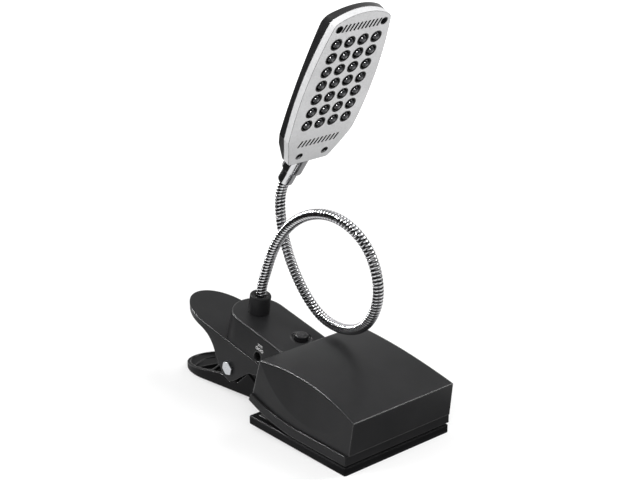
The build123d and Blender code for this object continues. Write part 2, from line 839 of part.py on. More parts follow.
def neck_links() -> list:
    """Tubes of the neck, each a bend between two joints at the middle of its runs."""
    route = neck_points()
    links = []
    last = len(route) - 2
    for k in range(1, last + 1):
        before = (route[k - 1] - route[k]).normalized()
        after = (route[k + 1] - route[k]).normalized()
        start = route[0] if k == 1 else (route[k - 1] + route[k]) * 0.5 - before * (neck_gap / 2)
        end = route[-1] if k == last else (route[k] + route[k + 1]) * 0.5 - after * (neck_gap / 2)
        runs = [(start - route[k]).length, (end - route[k]).length]
        turn = math.radians(180 - before.get_angle(after))
        radius = (min(runs) - neck_straight) / math.tan(turn / 2)
        path = FilletPolyline(start, route[k], end, radius=radius)
        ring = Circle(neck_radius) - Circle(neck_hole)
        links.append(sweep(Plane(path @ 0, z_dir=path % 0) * ring, path=path))
    return links


# Lamp head


def ferrule_place() -> Location:
    """Frame on the ferrule's lower face, z up into the head."""
    return Location(Plane(ferrule_base(), x_dir=(0, 1, 0), z_dir=ferrule_axis()))


def ferrule_top() -> Location:
    """Frame on the ferrule's upper end, where it meets the head's chin."""
    return ferrule_place() * Pos(0, 0, ferrule_small_length + ferrule_large_length)


def head_place() -> Location:
    """Frame on the middle of the lamp grid: x across, y up the face, z out of the face."""
    lean = math.radians(head_lean)
    up = Vector(math.sin(lean), 0, math.cos(lean))
    out = Vector(math.cos(lean), 0, -math.sin(lean))
    middle = ferrule_top().position + up * head_chin + out * head_set_back
    return Location(Plane(middle, x_dir=(0, 1, 0), z_dir=out))


def head_outline(inset: float) -> Sketch:
    """Outline of the head: arched top, bowed sides and a chin that narrows to a straight end."""
    crown = [(-head_shoulder_half, head_shoulder), (0, head_top), (head_shoulder_half, head_shoulder)]
    edges = [ThreePointArc(*crown)]
    middle = (head_shoulder - head_hip) / 2
    for hand in (1, -1):
        shoulder = (hand * head_shoulder_half, head_shoulder)
        hip = (hand * head_hip_half, -head_hip)
        edges.append(ThreePointArc(shoulder, (hand * head_half, middle), hip))
        edges.append(Line(hip, (hand * head_chin_half, -head_chin)))
    edges.append(Line((-head_chin_half, -head_chin), (head_chin_half, -head_chin)))
    face = make_face(edges)
    shoulders = face.vertices().filter_by(lambda v: v.Y > head_shoulder - overrun)
    face = fillet(shoulders, head_corner)
    face = fillet(face.vertices().sort_by(Axis.Y)[:2], chin_corner)
    return offset(face, -inset) if inset else face


def head_layer(front: float, back: float) -> Part:
    """Slab of the head between two depths behind its face, bent back over the chin."""
    edges = []
    ends = []
    for depth in (front, back):
        flat = Line((tall / 2, -depth), (-chin_start, -depth))
        bend = CenterArc((-chin_start, -chin_radius), chin_radius - depth, 90, chin_sweep)
        edges += [flat, bend]
        ends.append((flat @ 0, bend @ 1))
    edges += [Line(ends[0][0], ends[1][0]), Line(ends[0][1], ends[1][1])]
    frame = Plane((0, 0, 0), x_dir=(0, 1, 0), z_dir=(1, 0, 0))
    return extrude(frame * make_face(edges), tall / 4, both=True)


def led_spots() -> list:
    """Places of the LEDs on the face."""
    columns = [(k - (led_columns - 1) / 2) * led_pitch_across for k in range(led_columns)]
    rows = [(k - (led_rows - 1) / 2) * led_pitch_up for k in range(led_rows)]
    return [(x, y) for y in rows for x in columns]


def head_screw_spots() -> list:
    """Places of the head's screws on the face."""
    spots = []
    for hand in (-1, 1):
        spots.append((hand * head_screw_top_half, head_screw_top))
        spots.append((hand * head_screw_chin_half, -head_screw_chin))
    return spots


def drills(spots: list, radius: float) -> list:
    """Long cylinders through the head at each place."""
    return [Pos(x, y, 0) * Cylinder(radius, tall / 2) for x, y in spots]


def head_bezel() -> Part:
    """Silver bezel: a face with LED holes, vents and screw recesses, and a rim round it."""
    blank = extrude(head_outline(0), -tall / 4) & head_layer(0, bezel_depth)
    room = extrude(head_outline(bezel_wall), -tall / 4) & head_layer(bezel_face, bezel_depth + overrun)
    bezel = blank - room
    bezel -= drills(led_spots(), led_hole)
    bezel -= drills(head_screw_spots(), head_screw_recess)
    slots = []
    for k in range(vent_count):
        share = 2 * k / (vent_count - 1) - 1
        slot = Rot(0, 0, -vent_slant) * Box(vent_width, vent_length, tall / 4)
        slots.append(Pos(share * vent_top_half, head_screw_top, 0) * slot)
        slots.append(Pos(share * vent_chin_half, -vent_chin, 0) * slot)
    return bezel - slots


def chin_boss(radius: float, start: float) -> Part:
    """Cylinder round the ferrule's axis that grows out of the shell's back above the chin."""
    boss = head_place().inverse() * ferrule_top() * Cylinder(radius, 2 * shell_boss_length)
    return boss & (Pos(0, start, 0) * chin_block())


def shell_block(inset: float) -> Part:
    """Body of the rear shell less a wall: upright sides, a back domed both ways and the ferrule's boss."""
    rise = shell_crown - shell_edge
    reach = (head_top + head_chin) / 2
    across_radius = (head_half ** 2 + rise ** 2) / (2 * rise)
    along_radius = (reach ** 2 + rise ** 2) / (2 * rise)
    block = extrude(head_outline(inset), -shell_crown)
    block &= Pos(0, 0, across_radius - shell_crown) * Rot(90, 0, 0) * Cylinder(across_radius - inset, tall)
    middle = Pos(0, head_top - reach, along_radius - shell_crown)
    block &= middle * Rot(0, 90, 0) * Cylinder(along_radius - inset, tall)
    return block + chin_boss(shell_boss - inset, inset)


def head_shell() -> Part:
    """Black rear shell: domed back, hollow, with screw posts and a hole for the ferrule's stem."""
    block = shell_block(0)
    room = shell_block(shell_wall)
    depth = head_screw_reach + head_screw_seat
    shell = block - room
    for x, y in head_screw_spots():
        spot = Pos(x, y, 0)
        shell += (spot * Pos(0, 0, -shell_crown) * rod(head_screw_recess, shell_crown)) & block
        shell -= spot * Pos(0, 0, -depth) * rod(head_screw_radius + bolt_play, depth)
    return shell - head_layer(-tall / 8, bezel_depth)


def led_holder() -> Part:
    """Black plate behind the face, with a cup for each LED that stands up into the bezel's hole."""
    plate = Rectangle(2 * holder_half_width, 2 * holder_half_height)
    block = extrude(plate, -tall / 4) & head_layer(bezel_face, bezel_face + holder_thick)
    base = bezel_face + holder_thick / 2
    cup = rod(led_hole - cup_play, base - cup_set_back)
    block += [Pos(x, y, -base) * cup for x, y in led_spots()]
    return block - drills(led_spots(), holder_hole)


def led_board() -> Part:
    """Circuit board that carries the LEDs behind the holder."""
    depth = bezel_face + holder_thick
    plate = Pos(0, led_board_trim / 2, -depth - led_board_thick / 2)
    return plate * Box(2 * holder_half_width, 2 * holder_half_height - led_board_trim, led_board_thick)


def led_lamps() -> Compound:
    """Domed LEDs standing on the board, one in each cup."""
    depth = bezel_face + holder_thick
    top = depth - led_set_back
    points = [(0, 0), (led_flange, 0), (led_flange, led_flange_height), (led_radius, led_flange_height)]
    shoulder = (led_radius, top - led_radius)
    dome = CenterArc((0, top - led_radius), led_radius, 0, 90)
    profile = make_face([Polyline(*points, shoulder), dome, Line((0, top), (0, 0))])
    lamp = revolve(Plane.XZ * profile, Axis.Z)
    return Compound([Pos(x, y, -depth) * lamp for x, y in led_spots()])


def head_screws() -> Compound:
    """Cross-slotted screws in the face's recesses, each into a post of the shell."""
    screws = []
    slot = Box(head_screw_cross, head_screw_slot, 2 * head_screw_slot_depth)
    slot += Box(head_screw_slot, head_screw_cross, 2 * head_screw_slot_depth)
    for x, y in head_screw_spots():
        fall = max(0.0, -y - chin_start)
        top = math.sqrt(chin_radius ** 2 - fall ** 2) - chin_radius - head_screw_sink
        length = bezel_depth - head_screw_sink - head_screw_seat
        screw = Pos(x, y, top - length) * rod(head_screw_head, length)
        screw += Pos(x, y, -head_screw_reach) * rod(head_screw_radius, top + head_screw_reach)
        screws.append(screw - Pos(x, y, top) * slot)
    return Compound(screws)


def neck_ferrule() -> Part:
    """Bright ferrule in two steps with a groove between them, and a threaded stem into the head."""
    bore = neck_radius + neck_seat
    waist = ferrule_small - ferrule_groove
    step = ferrule_small_length
    top = step + ferrule_large_length
    brim = top + ferrule_brim
    tip = top + ferrule_stem_length
    points = [
        (bore, 0), (ferrule_small, 0), (ferrule_small, step - ferrule_groove), (waist, step - ferrule_groove),
        (waist, step), (ferrule_large, step), (ferrule_large, brim), (ferrule_stem, brim),
        (ferrule_stem, tip), (ferrule_bore, tip), (ferrule_bore, ferrule_seat), (bore, ferrule_seat),
    ]
    turned = ferrule_place() * revolve(Plane.XZ * make_face(Polyline(*points, close=True)), Axis.Z)
    sleeve = Cylinder(ferrule_large + overrun, 4 * ferrule_brim) - Cylinder(ferrule_stem, 4 * ferrule_brim)
    return turned - ((ferrule_top() * sleeve) & (head_place() * chin_block()))


def chin_block() -> Part:
    """Everything above the head's chin line, in the head's frame."""
    return Pos(0, tall / 2 - head_chin, 0) * Box(tall, tall, tall)


def ferrule_nut() -> Part:
    """Hex nut on the ferrule's stem, inside the shell."""
    wall = shell_wall / math.cos(math.radians(ferrule_lean - head_lean)) + ferrule_brim
    nut = hexagon(ferrule_nut_across, ferrule_nut_height, ferrule_stem + bolt_play)
    return ferrule_top() * Pos(0, 0, wall) * nut


def pieces() -> dict:
    """Every piece by its node name, in the clip's frame."""
    head = head_place()
    stem_hole = ferrule_top() * Cylinder(ferrule_stem + bolt_play, tall / 8)
    made = {
        "lower_jaw": lower_jaw(),
        "lower_grip_pad": lower_grip_pad(),
        "pivot_bolt": pivot_bolt(),
        "pivot_nut": pivot_nut(),
        "torsion_spring": torsion_spring(),
        "upper_jaw": upper_jaw(),
        "upper_grip_pad": upper_grip_pad(),
        "battery_cover": battery_cover(),
        "battery_tray": battery_tray(),
        "battery_cells": battery_cells(),
        "battery_contacts": battery_contacts(),
        "switch_housing": switch_housing(),
        "neck_gland": neck_gland(),
        "gland_nut": gland_nut(),
        "power_button": power_button(),
        "control_board": control_board(),
        "switch_module": switch_module(),
        "dc_socket": dc_socket(),
        "housing_screws": housing_screws(),
        "neck_ferrule": neck_ferrule(),
        "ferrule_nut": ferrule_nut(),
        "head_bezel": head * head_bezel(),
        "head_shell": head * head_shell() - stem_hole,
        "led_holder": head * led_holder(),
        "led_board": head * led_board(),
        "led_lamps": head * led_lamps(),
        "head_screws": head * head_screws(),
    }
    for index, link in enumerate(neck_links(), start=1):
        made[f"neck_{index:02d}"] = link
    return made


def stance(made: dict) -> Location:
    """Sets the lamp down on the plate's front edge and the handle's heel, origin under its middle."""
    heel = -underside_at(-lower_reach)
    turn = Rot(0, math.degrees(math.atan2(heel, plate_length + lower_reach)), 0)
    box = Compound([turn * piece for piece in made.values()]).bounding_box()
    return Pos(-box.center().X, -box.center().Y, -box.min.Z) * turn


if __name__ == "__main__":
    lamp = pieces()
    down = stance(lamp)
    os.makedirs("parts", exist_ok=True)
    for name, piece in lamp.items():
        export_step(down * piece, f"parts/{name}.step")
    print("stance", down)
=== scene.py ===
"""Dresses the clip-on reading lamp: black moulded clip and box, wound steel gooseneck and silver LED head.

Lengths in the lamp's classes are millimetres in the clip's own frame: x forward from the rear edge of the
lower jaw plate, y across, z up from the plate's underside. Stance turns them into the row frame in metres.
The studio's floor, cards and lights are in metres of the row frame.
"""

import json
import logging
import math
from dataclasses import dataclass
from enum import Enum

import bpy
import numpy as np
from mathutils import Matrix
from mathutils.bvhtree import BVHTree


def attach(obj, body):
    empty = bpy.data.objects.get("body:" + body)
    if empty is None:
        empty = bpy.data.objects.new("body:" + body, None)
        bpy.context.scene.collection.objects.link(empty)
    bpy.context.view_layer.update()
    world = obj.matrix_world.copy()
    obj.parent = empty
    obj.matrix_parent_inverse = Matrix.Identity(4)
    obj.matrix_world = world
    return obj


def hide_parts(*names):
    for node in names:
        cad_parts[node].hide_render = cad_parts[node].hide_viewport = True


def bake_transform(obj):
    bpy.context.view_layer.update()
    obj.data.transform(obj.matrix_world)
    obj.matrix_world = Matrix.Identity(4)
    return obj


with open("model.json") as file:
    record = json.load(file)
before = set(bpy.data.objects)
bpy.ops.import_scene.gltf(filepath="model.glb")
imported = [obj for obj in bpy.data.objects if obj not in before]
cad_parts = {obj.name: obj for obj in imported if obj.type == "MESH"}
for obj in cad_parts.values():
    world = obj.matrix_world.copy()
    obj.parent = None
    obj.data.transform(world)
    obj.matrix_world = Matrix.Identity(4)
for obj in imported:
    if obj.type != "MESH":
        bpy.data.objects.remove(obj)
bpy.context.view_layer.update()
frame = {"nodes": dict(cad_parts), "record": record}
LOG = logging.getLogger("reading_lamp")
MM = 0.001
WHITE = (1.0, 1.0, 1.0, 1.0)
ACROSS = np.array([0.0, 1.0, 0.0])
UP = np.array([0.0, 0.0, 1.0])
LEVER_PITCH_DEG = 10.3
# Sockets of a mix node that is set to colours. Their names are shared with the sockets for plain numbers.
MIX_SHARE, MIX_FIRST, MIX_SECOND, MIX_RESULT = 0, 6, 7, 2


@dataclass(frozen=True)
class Stance:
    """How the clip's frame stands in the row frame: a small nose-down turn about +Y and a shift."""

    tilt_deg: float = 2.50142
    shift_mm: tuple[float, float, float] = (7.94806, 0.0, 3.66612)

    def turn(self, vectors: np.ndarray) -> np.ndarray:
        """Turns directions from the clip's frame to the row frame.

        Args:
            vectors: array of shape (..., 3).

        Returns:
            The turned array.
        """
        tilt = math.radians(self.tilt_deg)
        cos, sin = math.cos(tilt), math.sin(tilt)
        matrix = np.array([[cos, 0.0, sin], [0.0, 1.0, 0.0], [-sin, 0.0, cos]])
        return np.asarray(vectors, float) @ matrix.T

    def place(self, points: np.ndarray) -> np.ndarray:
        """Places points given in millimetres of the clip's frame.

        Args:
            points: array of shape (..., 3).

        Returns:
            The points in metres of the row frame.
        """
        return (self.turn(points) + np.array(self.shift_mm)) * MM


STANCE = Stance()


class Edge(Enum):
    """How far an edge is rounded, in millimetres."""

    CRISP = 0.25
    MOULDED = 0.55
    ROUND = 1.1


def linear(hex_colour: str) -> tuple[float, float, float, float]:
    """Turns an sRGB hex colour to linear: x / 12.92 up to 0.04045, and ((x + 0.055) / 1.055)^2.4 above it.

    Args:
        hex_colour: six digits with a leading hash.

    Returns:
        Linear red, green, blue and an alpha of one.
    """
    digits = hex_colour.lstrip("#")
    values = np.array([int(digits[i : i + 2], 16) / 255.0 for i in (0, 2, 4)])
    low, high = values / 12.92, ((values + 0.055) / 1.055) ** 2.4
    red, green, blue = np.where(values <= 0.04045, low, high)
    return (float(red), float(green), float(blue), 1.0)


def add(
    tree: bpy.types.NodeTree,
    kind: str,
    settings: dict[str | int, object] | None = None,
    links: dict[str | int, bpy.types.NodeSocket] | None = None,
) -> bpy.types.Node:
    """Adds a node with its settings and links.

    Args:
        tree: the tree that gets the node.
        kind: the node's Blender type.
        settings: property names or input sockets to values; a key that is a property sets the property.
        links: input sockets to the output sockets that feed them.

    Returns:
        The new node.
    """
    made = tree.nodes.new(kind)
    for key, value in (settings or {}).items():
        if isinstance(key, str) and hasattr(made, key):
            setattr(made, key, value)
        else:
            made.inputs[key].default_value = value
    for key, source in (links or {}).items():
        tree.links.new(source, made.inputs[key])
    return made


def per_metre(size_mm: float) -> float:
    """Texture scale whose features are about a size in millimetres."""
    return 1.0 / (size_mm * MM)


def start_material(name: str) -> tuple[bpy.types.Material, bpy.types.NodeTree, bpy.types.NodeSocket]:
    """Makes an empty material.

    Args:
        name: the material's name.

    Returns:
        The material, its tree and the output that gives a point's place on its object.
    """
    material = bpy.data.materials.new(name)
    material.use_nodes = True
    tree = material.node_tree
    tree.nodes.clear()
    where = add(tree, "ShaderNodeTexCoord").outputs["Object"]
    return material, tree, where


@dataclass(frozen=True)
class MouldedPlastic:
    """Injection-moulded plastic from a spark-eroded tool: an even fine grain that spreads the gloss, rounded
    edges worn smooth that catch a thin line of light, and faint cloudiness in the colour. A painted edge
    shade, where given, paints a dark line of shade along the edges.

    An edge counts as worn, and takes any painted edge shade, where its rounded normal has turned from the
    plain one. At the first of the cosines it is as dull and unshaded as the faces, and at the second it is
    worn through and fully shaded.
    """

    name: str
    dark: str
    light: str
    roughness: float
    roughness_spread: float = 0.06
    shine: float = 0.5
    metallic: float = 0.0
    grain_mm: float = 0.35
    grain_detail: float = 2.0
    grain_depth_mm: float = 0.010
    grain_strength: float = 0.6
    cloud_mm: float = 18.0
    cloud_detail: float = 3.0
    cloud_span: tuple[float, float] = (0.7, 1.3)
    edge: Edge = Edge.MOULDED
    edge_samples: int = 6
    edge_roughness: float = 0.16
    edge_shine: float = 0.6
    painted_edge_shade: str = ""
    wear_and_shade_cosines: tuple[float, float] = (0.995, 0.93)

    def build(self) -> bpy.types.Material:
        """Builds the material.

        Returns:
            The new material.
        """
        material, tree, where = start_material(self.name)
        cloud = add(
            tree,
            "ShaderNodeTexNoise",
            {"Scale": per_metre(self.cloud_mm), "Detail": self.cloud_detail},
            {"Vector": where},
        )
        grain = add(
            tree,
            "ShaderNodeTexNoise",
            {"Scale": per_metre(self.grain_mm), "Detail": self.grain_detail},
            {"Vector": where},
        )
        both = add(
            tree,
            "ShaderNodeMath",
            {"operation": "ADD"},
            {0: cloud.outputs["Fac"], 1: grain.outputs["Fac"]},
        )
        share = add(
            tree,
            "ShaderNodeMapRange",
            {"From Min": self.cloud_span[0], "From Max": self.cloud_span[1]},
            {"Value": both.outputs[0]},
        )
        colour = add(
            tree,
            "ShaderNodeMix",
            {"data_type": "RGBA", MIX_FIRST: linear(self.dark), MIX_SECOND: linear(self.light)},
            {MIX_SHARE: share.outputs[0]},
        )
        gloss = add(
            tree,
            "ShaderNodeMapRange",
            {
                "To Min": self.roughness - self.roughness_spread,
                "To Max": self.roughness + self.roughness_spread,
            },
            {"Value": grain.outputs["Fac"]},
        )
        rounded = add(
            tree, "ShaderNodeBevel", {"samples": self.edge_samples, "Radius": self.edge.value * MM}
        )
        plain = add(tree, "ShaderNodeNewGeometry")
        turned = add(
            tree,
            "ShaderNodeVectorMath",
            {"operation": "DOT_PRODUCT"},
            {0: rounded.outputs["Normal"], 1: plain.outputs["Normal"]},
        )
        edge_wear_and_shade = add(
            tree,
            "ShaderNodeMapRange",
            {"From Min": self.wear_and_shade_cosines[0], "From Max": self.wear_and_shade_cosines[1]},
            {"Value": turned.outputs["Value"]},
        )
        # Painted shade: where an edge shade is given, the edges are painted in that dark colour.
        if self.painted_edge_shade:
            colour = add(
                tree,
                "ShaderNodeMix",
                {"data_type": "RGBA", MIX_SECOND: linear(self.painted_edge_shade)},
                {MIX_SHARE: edge_wear_and_shade.outputs[0], MIX_FIRST: colour.outputs[MIX_RESULT]},
            )
        polish = add(
            tree,
            "ShaderNodeMix",
            {"B": self.edge_roughness},
            {"Factor": edge_wear_and_shade.outputs[0], "A": gloss.outputs[0]},
        )
        shine = add(
            tree, "ShaderNodeMix", {"A": self.shine, "B": self.edge_shine}, {"Factor": edge_wear_and_shade.outputs[0]}
        )
        bump = add(
            tree,
            "ShaderNodeBump",
            {"Strength": self.grain_strength, "Distance": self.grain_depth_mm * MM},
            {"Height": grain.outputs["Fac"], "Normal": rounded.outputs["Normal"]},
        )
        shader = add(
            tree,
            "ShaderNodeBsdfPrincipled",
            {"Metallic": self.metallic},
            {
                "Base Color": colour.outputs[MIX_RESULT],
                "Roughness": polish.outputs[0],
                "Specular IOR Level": shine.outputs[0],
                "Normal": bump.outputs["Normal"],
            },
        )
        add(tree, "ShaderNodeOutputMaterial", links={"Surface": shader.outputs[0]})
        return material


@dataclass(frozen=True)
class PlatedMetal:
    """Plated or polished metal: bright reflections, with faint wear that roughens it in small clouds. Where
    a mesh marks its grooves, the metal is painted dark there: painted shade between the turns of a wound
    tube.
    """

    name: str
    colour: str
    roughness: float
    wear: float = 0.08
    wear_mm: float = 6.0
    wear_detail: float = 4.0
    wear_span: tuple[float, float] = (0.35, 0.7)
    edge: Edge = Edge.CRISP
    edge_samples: int = 4
    # Painted shade: the marked grooves are painted this near-black, in place of the shade that falls in
    # them.
    gap: str = "gap"
    gap_shade_colour: str = "#0e0e0f"

    def build(self) -> bpy.types.Material:
        """Builds the material.

        Returns:
            The new material.
        """
        material, tree, where = start_material(self.name)
        wear = add(
            tree,
            "ShaderNodeTexNoise",
            {"Scale": per_metre(self.wear_mm), "Detail": self.wear_detail},
            {"Vector": where},
        )
        gloss = add(
            tree,
            "ShaderNodeMapRange",
            {
                "From Min": self.wear_span[0],
                "From Max": self.wear_span[1],
                "To Min": self.roughness,
                "To Max": self.roughness + self.wear,
            },
            {"Value": wear.outputs["Fac"]},
        )
        rounded = add(
            tree, "ShaderNodeBevel", {"samples": self.edge_samples, "Radius": self.edge.value * MM}
        )
        # Reads the grooves' mark for the painted shade.
        depth = add(tree, "ShaderNodeAttribute", {"attribute_name": self.gap})
        colour = add(
            tree,
            "ShaderNodeMix",
            {"data_type": "RGBA", MIX_FIRST: linear(self.colour), MIX_SECOND: linear(self.gap_shade_colour)},
            {MIX_SHARE: depth.outputs["Fac"]},
        )
        shader = add(
            tree,
            "ShaderNodeBsdfPrincipled",
            {"Metallic": 1.0},
            {
                "Base Color": colour.outputs[MIX_RESULT],
                "Roughness": gloss.outputs[0],
                "Normal": rounded.outputs["Normal"],
            },
        )
        add(tree, "ShaderNodeOutputMaterial", links={"Surface": shader.outputs[0]})
        return material


@dataclass(frozen=True)
class ClearEpoxy:
    """Clear epoxy cast round an LED's parts: a wet-looking skin with sharp glints. Its colour is a painted
    view
    through the epoxy: where the attribute marks the crown it is painted pale for the reflector seen through
    it, and the sides are painted dark for the black cup seen through them.
    """

    name: str
    side: str
    crown: str
    roughness: float
    ior: float = 1.55
    streak_mm: float = 1.2
    streak_detail: float = 2.0
    core: str = "core"

    def build(self) -> bpy.types.Material:
        """Builds the material.

        Returns:
            The new material.
        """
        material, tree, where = start_material(self.name)
        streak = add(
            tree,
            "ShaderNodeTexNoise",
            {"Scale": per_metre(self.streak_mm), "Detail": self.streak_detail},
            {"Vector": where},
        )
        # Painted see-through view: the crown's mark, broken up by the streaks, paints the dome paler there.
        core = add(tree, "ShaderNodeAttribute", {"attribute_name": self.core})
        share = add(
            tree,
            "ShaderNodeMath",
            {"operation": "MULTIPLY"},
            {0: core.outputs["Fac"], 1: streak.outputs["Fac"]},
        )
        colour = add(
            tree,
            "ShaderNodeMix",
            {"data_type": "RGBA", MIX_FIRST: linear(self.side), MIX_SECOND: linear(self.crown)},
            {MIX_SHARE: share.outputs[0]},
        )
        shader = add(
            tree,
            "ShaderNodeBsdfPrincipled",
            {"Roughness": self.roughness, "IOR": self.ior},
            {"Base Color": colour.outputs[MIX_RESULT]},
        )
        add(tree, "ShaderNodeOutputMaterial", links={"Surface": shader.outputs[0]})
        return material


@dataclass(frozen=True)
class Finishes:
    """The lamp's finishes, each built once."""

    # Black ABS off a grained tool: nearly matt faces, with a thin bright line along each edge.
    abs_black: MouldedPlastic = MouldedPlastic("abs_moulded_black", "#19191a", "#202021", 0.38, shine=0.10)
    # The same ABS with rounder edges: broader lines of light round the cover and the housing.
    cover_black: MouldedPlastic = MouldedPlastic(
        "abs_moulded_black_round", "#19191a", "#202021", 0.38, shine=0.14, edge=Edge.ROUND, edge_shine=0.9
    )
    # Black ABS off a dull tool: hardly any reflection. Its colour, darker than the other black parts', is
    # painted shade, so that the lower jaw reads as deep black.
    plate_black_shaded: MouldedPlastic = MouldedPlastic("abs_dull_black", "#0e0e0f", "#141415", 0.5, shine=0.04)
    # Black ABS off a finer tool: a soft sheen down the head's rim.
    shell_black: MouldedPlastic = MouldedPlastic("abs_satin_black", "#19191a", "#202021", 0.30, shine=0.30)
    # Black ABS off a polished tool: a small clear glint on the button's cap.
    cap_black: MouldedPlastic = MouldedPlastic("abs_polished_black", "#121213", "#181819", 0.24, shine=0.4)
    # Black rubber sheet: wholly matt, with a coarser grain.
    rubber: MouldedPlastic = MouldedPlastic("rubber_sheet_black", "#141414", "#1d1d1d", 0.75, grain_mm=0.6)
    # Silver lacquer on ABS: a pale satin face, with a painted dark line of shade along the edges. Its flakes
    # are drawn much coarser than they are, so that they show as a fine grain.
    silver: MouldedPlastic = MouldedPlastic(
        "abs_silver_lacquer",
        "#c9c9ca",
        "#dadadb",
        0.40,
        grain_mm=1.1,
        grain_depth_mm=0.006,
        metallic=0.1,
        painted_edge_shade="#4a4a4b",
    )
    # Matt black ABS: cups that stay dark from every side. On the bezel's hole and slot walls it is painted
    # shade.
    black_and_hole_shade: MouldedPlastic = MouldedPlastic("abs_matt_black", "#0c0c0c", "#121212", 0.55, edge=Edge.CRISP)
    # Cast clear epoxy: small sharp glints on dark domes, with the crown painted paler for the reflector seen
    # through it.
    lens: ClearEpoxy = ClearEpoxy("epoxy_clear", "#101012", "#5a5b5f", 0.07)
    # Glass-filled epoxy under a green mask: an even green with a satin gloss.
    board: MouldedPlastic = MouldedPlastic("glass_epoxy_green", "#12482a", "#185735", 0.35, edge=Edge.CRISP)
    # Metallised film shrunk on the cells: a grey satin sheen.
    cell: MouldedPlastic = MouldedPlastic("cell_sleeve_satin", "#8d9096", "#a1a4aa", 0.3, metallic=0.8)
    # Printed white ink: flat and a little off white.
    print_white: MouldedPlastic = MouldedPlastic(
        "print_ink_white", "#c8c8c8", "#d8d8d8", 0.6, grain_mm=0.2, grain_depth_mm=0.002, edge=Edge.CRISP
    )
    # Chrome plate: bright, and just soft enough for each narrow rib to keep its bands of light and dark.
    # On the neck its grooves are painted dark: painted shade between the ribs.
    chrome: PlatedMetal = PlatedMetal("chrome_plate", "#d2d2d4", 0.10, wear=0.04)
    # Bright zinc plate: a greyer and softer shine than chrome.
    zinc: PlatedMetal = PlatedMetal("zinc_plate", "#c4c6c9", 0.24)
    # Drawn spring steel: a dull grey shine along the wire.
    spring: PlatedMetal = PlatedMetal("spring_steel", "#8f9094", 0.32)
    # Black oxide on steel: a dark metal with a low shine.
    blacked: PlatedMetal = PlatedMetal("steel_black_oxide", "#2c2c2e", 0.28)


Finish = MouldedPlastic | PlatedMetal | ClearEpoxy
FINISHES = Finishes()
BUILT: dict[str, bpy.types.Material] = {}


def coat(obj: bpy.types.Object, *finishes: Finish) -> None:
    """Gives an object its finishes, building each the first time.

    Args:
        obj: mesh object to dress.
        finishes: the finishes, the first of which goes on every face.
    """
    obj.data.materials.clear()
    for finish in finishes:
        if finish.name not in BUILT:
            BUILT[finish.name] = finish.build()
        obj.data.materials.append(BUILT[finish.name])


def dress(finish: Finish, *nodes: str) -> None:
    """Gives CAD nodes a finish and reports each.

    Args:
        finish: the finish.
        nodes: names of the nodes.
    """
    for name in nodes:
        coat(frame["nodes"][name], finish)
        LOG.info("%s: %s", name, finish.name)


def body_of(node: str) -> str:
    """Finds the body that a CAD node rides on.

    Args:
        node: the node's name.

    Returns:
        The body's name.
    """
    bodies = frame["record"]["behaviour"]["bodies"]
    return next(body for body, nodes in bodies.items() if node in nodes)


def unit(vectors: np.ndarray) -> np.ndarray:
    """Scales vectors, along the last axis of an array, to a length of one."""
    return vectors / np.linalg.norm(vectors, axis=-1, keepdims=True)


def once_round(steps: int) -> np.ndarray:
    """Even angles once round, in radians, without the last, which is the first again."""
    return np.linspace(0.0, 2 * math.pi, steps, endpoint=False)


def circles(tangents: np.ndarray, angle: np.ndarray) -> np.ndarray:
    """Works out unit circles square to a line.

    Their points are s cos a + (t x s) sin a, with t the unit tangent and s the unit vector along t x y.

    Args:
        tangents: unit tangents at the line's points.
        angle: angles round the line, in radians.

    Returns:
        An array of shape (points, angles, 3).
    """
    side = unit(np.cross(tangents, ACROSS))
    other = np.cross(tangents, side)
    return side[:, None] * np.cos(angle)[:, None] + other[:, None] * np.sin(angle)[:, None]


def surface(name: str, grids: list[np.ndarray], around: bool = True) -> bpy.types.Object:
    """Makes one smooth mesh from grids of points.

    Args:
        name: the object's name.
        grids: arrays of shape (rows, columns, 3) in metres of the row frame.
        around: whether each grid's columns close on themselves; its two ends are then capped.

    Returns:
        The new object, at the origin.
    """
    faces, first = [], 0
    for grid in grids:
        rows, columns = grid.shape[:2]
        index = first + np.arange(rows * columns).reshape(rows, columns)
        right = np.roll(index, -1, axis=1) if around else index[:, 1:]
        left = index if around else index[:, :-1]
        faces += np.stack([left[:-1], right[:-1], right[1:], left[1:]], axis=-1).reshape(-1, 4).tolist()
        if around:
            faces += [index[0, ::-1].tolist(), index[-1].tolist()]
        first += rows * columns
    mesh = bpy.data.meshes.new(name)
    mesh.from_pydata(np.concatenate([grid.reshape(-1, 3) for grid in grids]).tolist(), [], faces)
    mesh.polygons.foreach_set("use_smooth", np.ones(len(faces), bool))
    mesh.update()
    made = bpy.data.objects.new(name, mesh)
    bpy.context.scene.collection.objects.link(made)
    return made


def mark_points(obj: bpy.types.Object, attribute: str, values: np.ndarray) -> None:
    """Writes a number at each point of a mesh, for its material to read.

    Args:
        obj: the mesh object.
        attribute: the attribute's name.
        values: one number for each point, in order.
    """
    marks = obj.data.attributes.new(attribute, "FLOAT", "POINT")
    marks.data.foreach_set("value", values)


def stand(
    name: str, data: bpy.types.Camera | bpy.types.Light, axes: np.ndarray, place: np.ndarray
) -> bpy.types.Object:
    """Stands a camera or a light in the scene.

    Args:
        name: the object's name.
        data: the camera or the light.
        axes: its right, up and back, one to a row.
        place: its place in metres.

    Returns:
        The new object.
    """
    made = bpy.data.objects.new(name, data)
    bpy.context.scene.collection.objects.link(made)
    rows = np.column_stack([axes.T, place]).tolist()
    made.matrix_world = Matrix([*rows, [0.0, 0.0, 0.0, 1.0]])
    return made


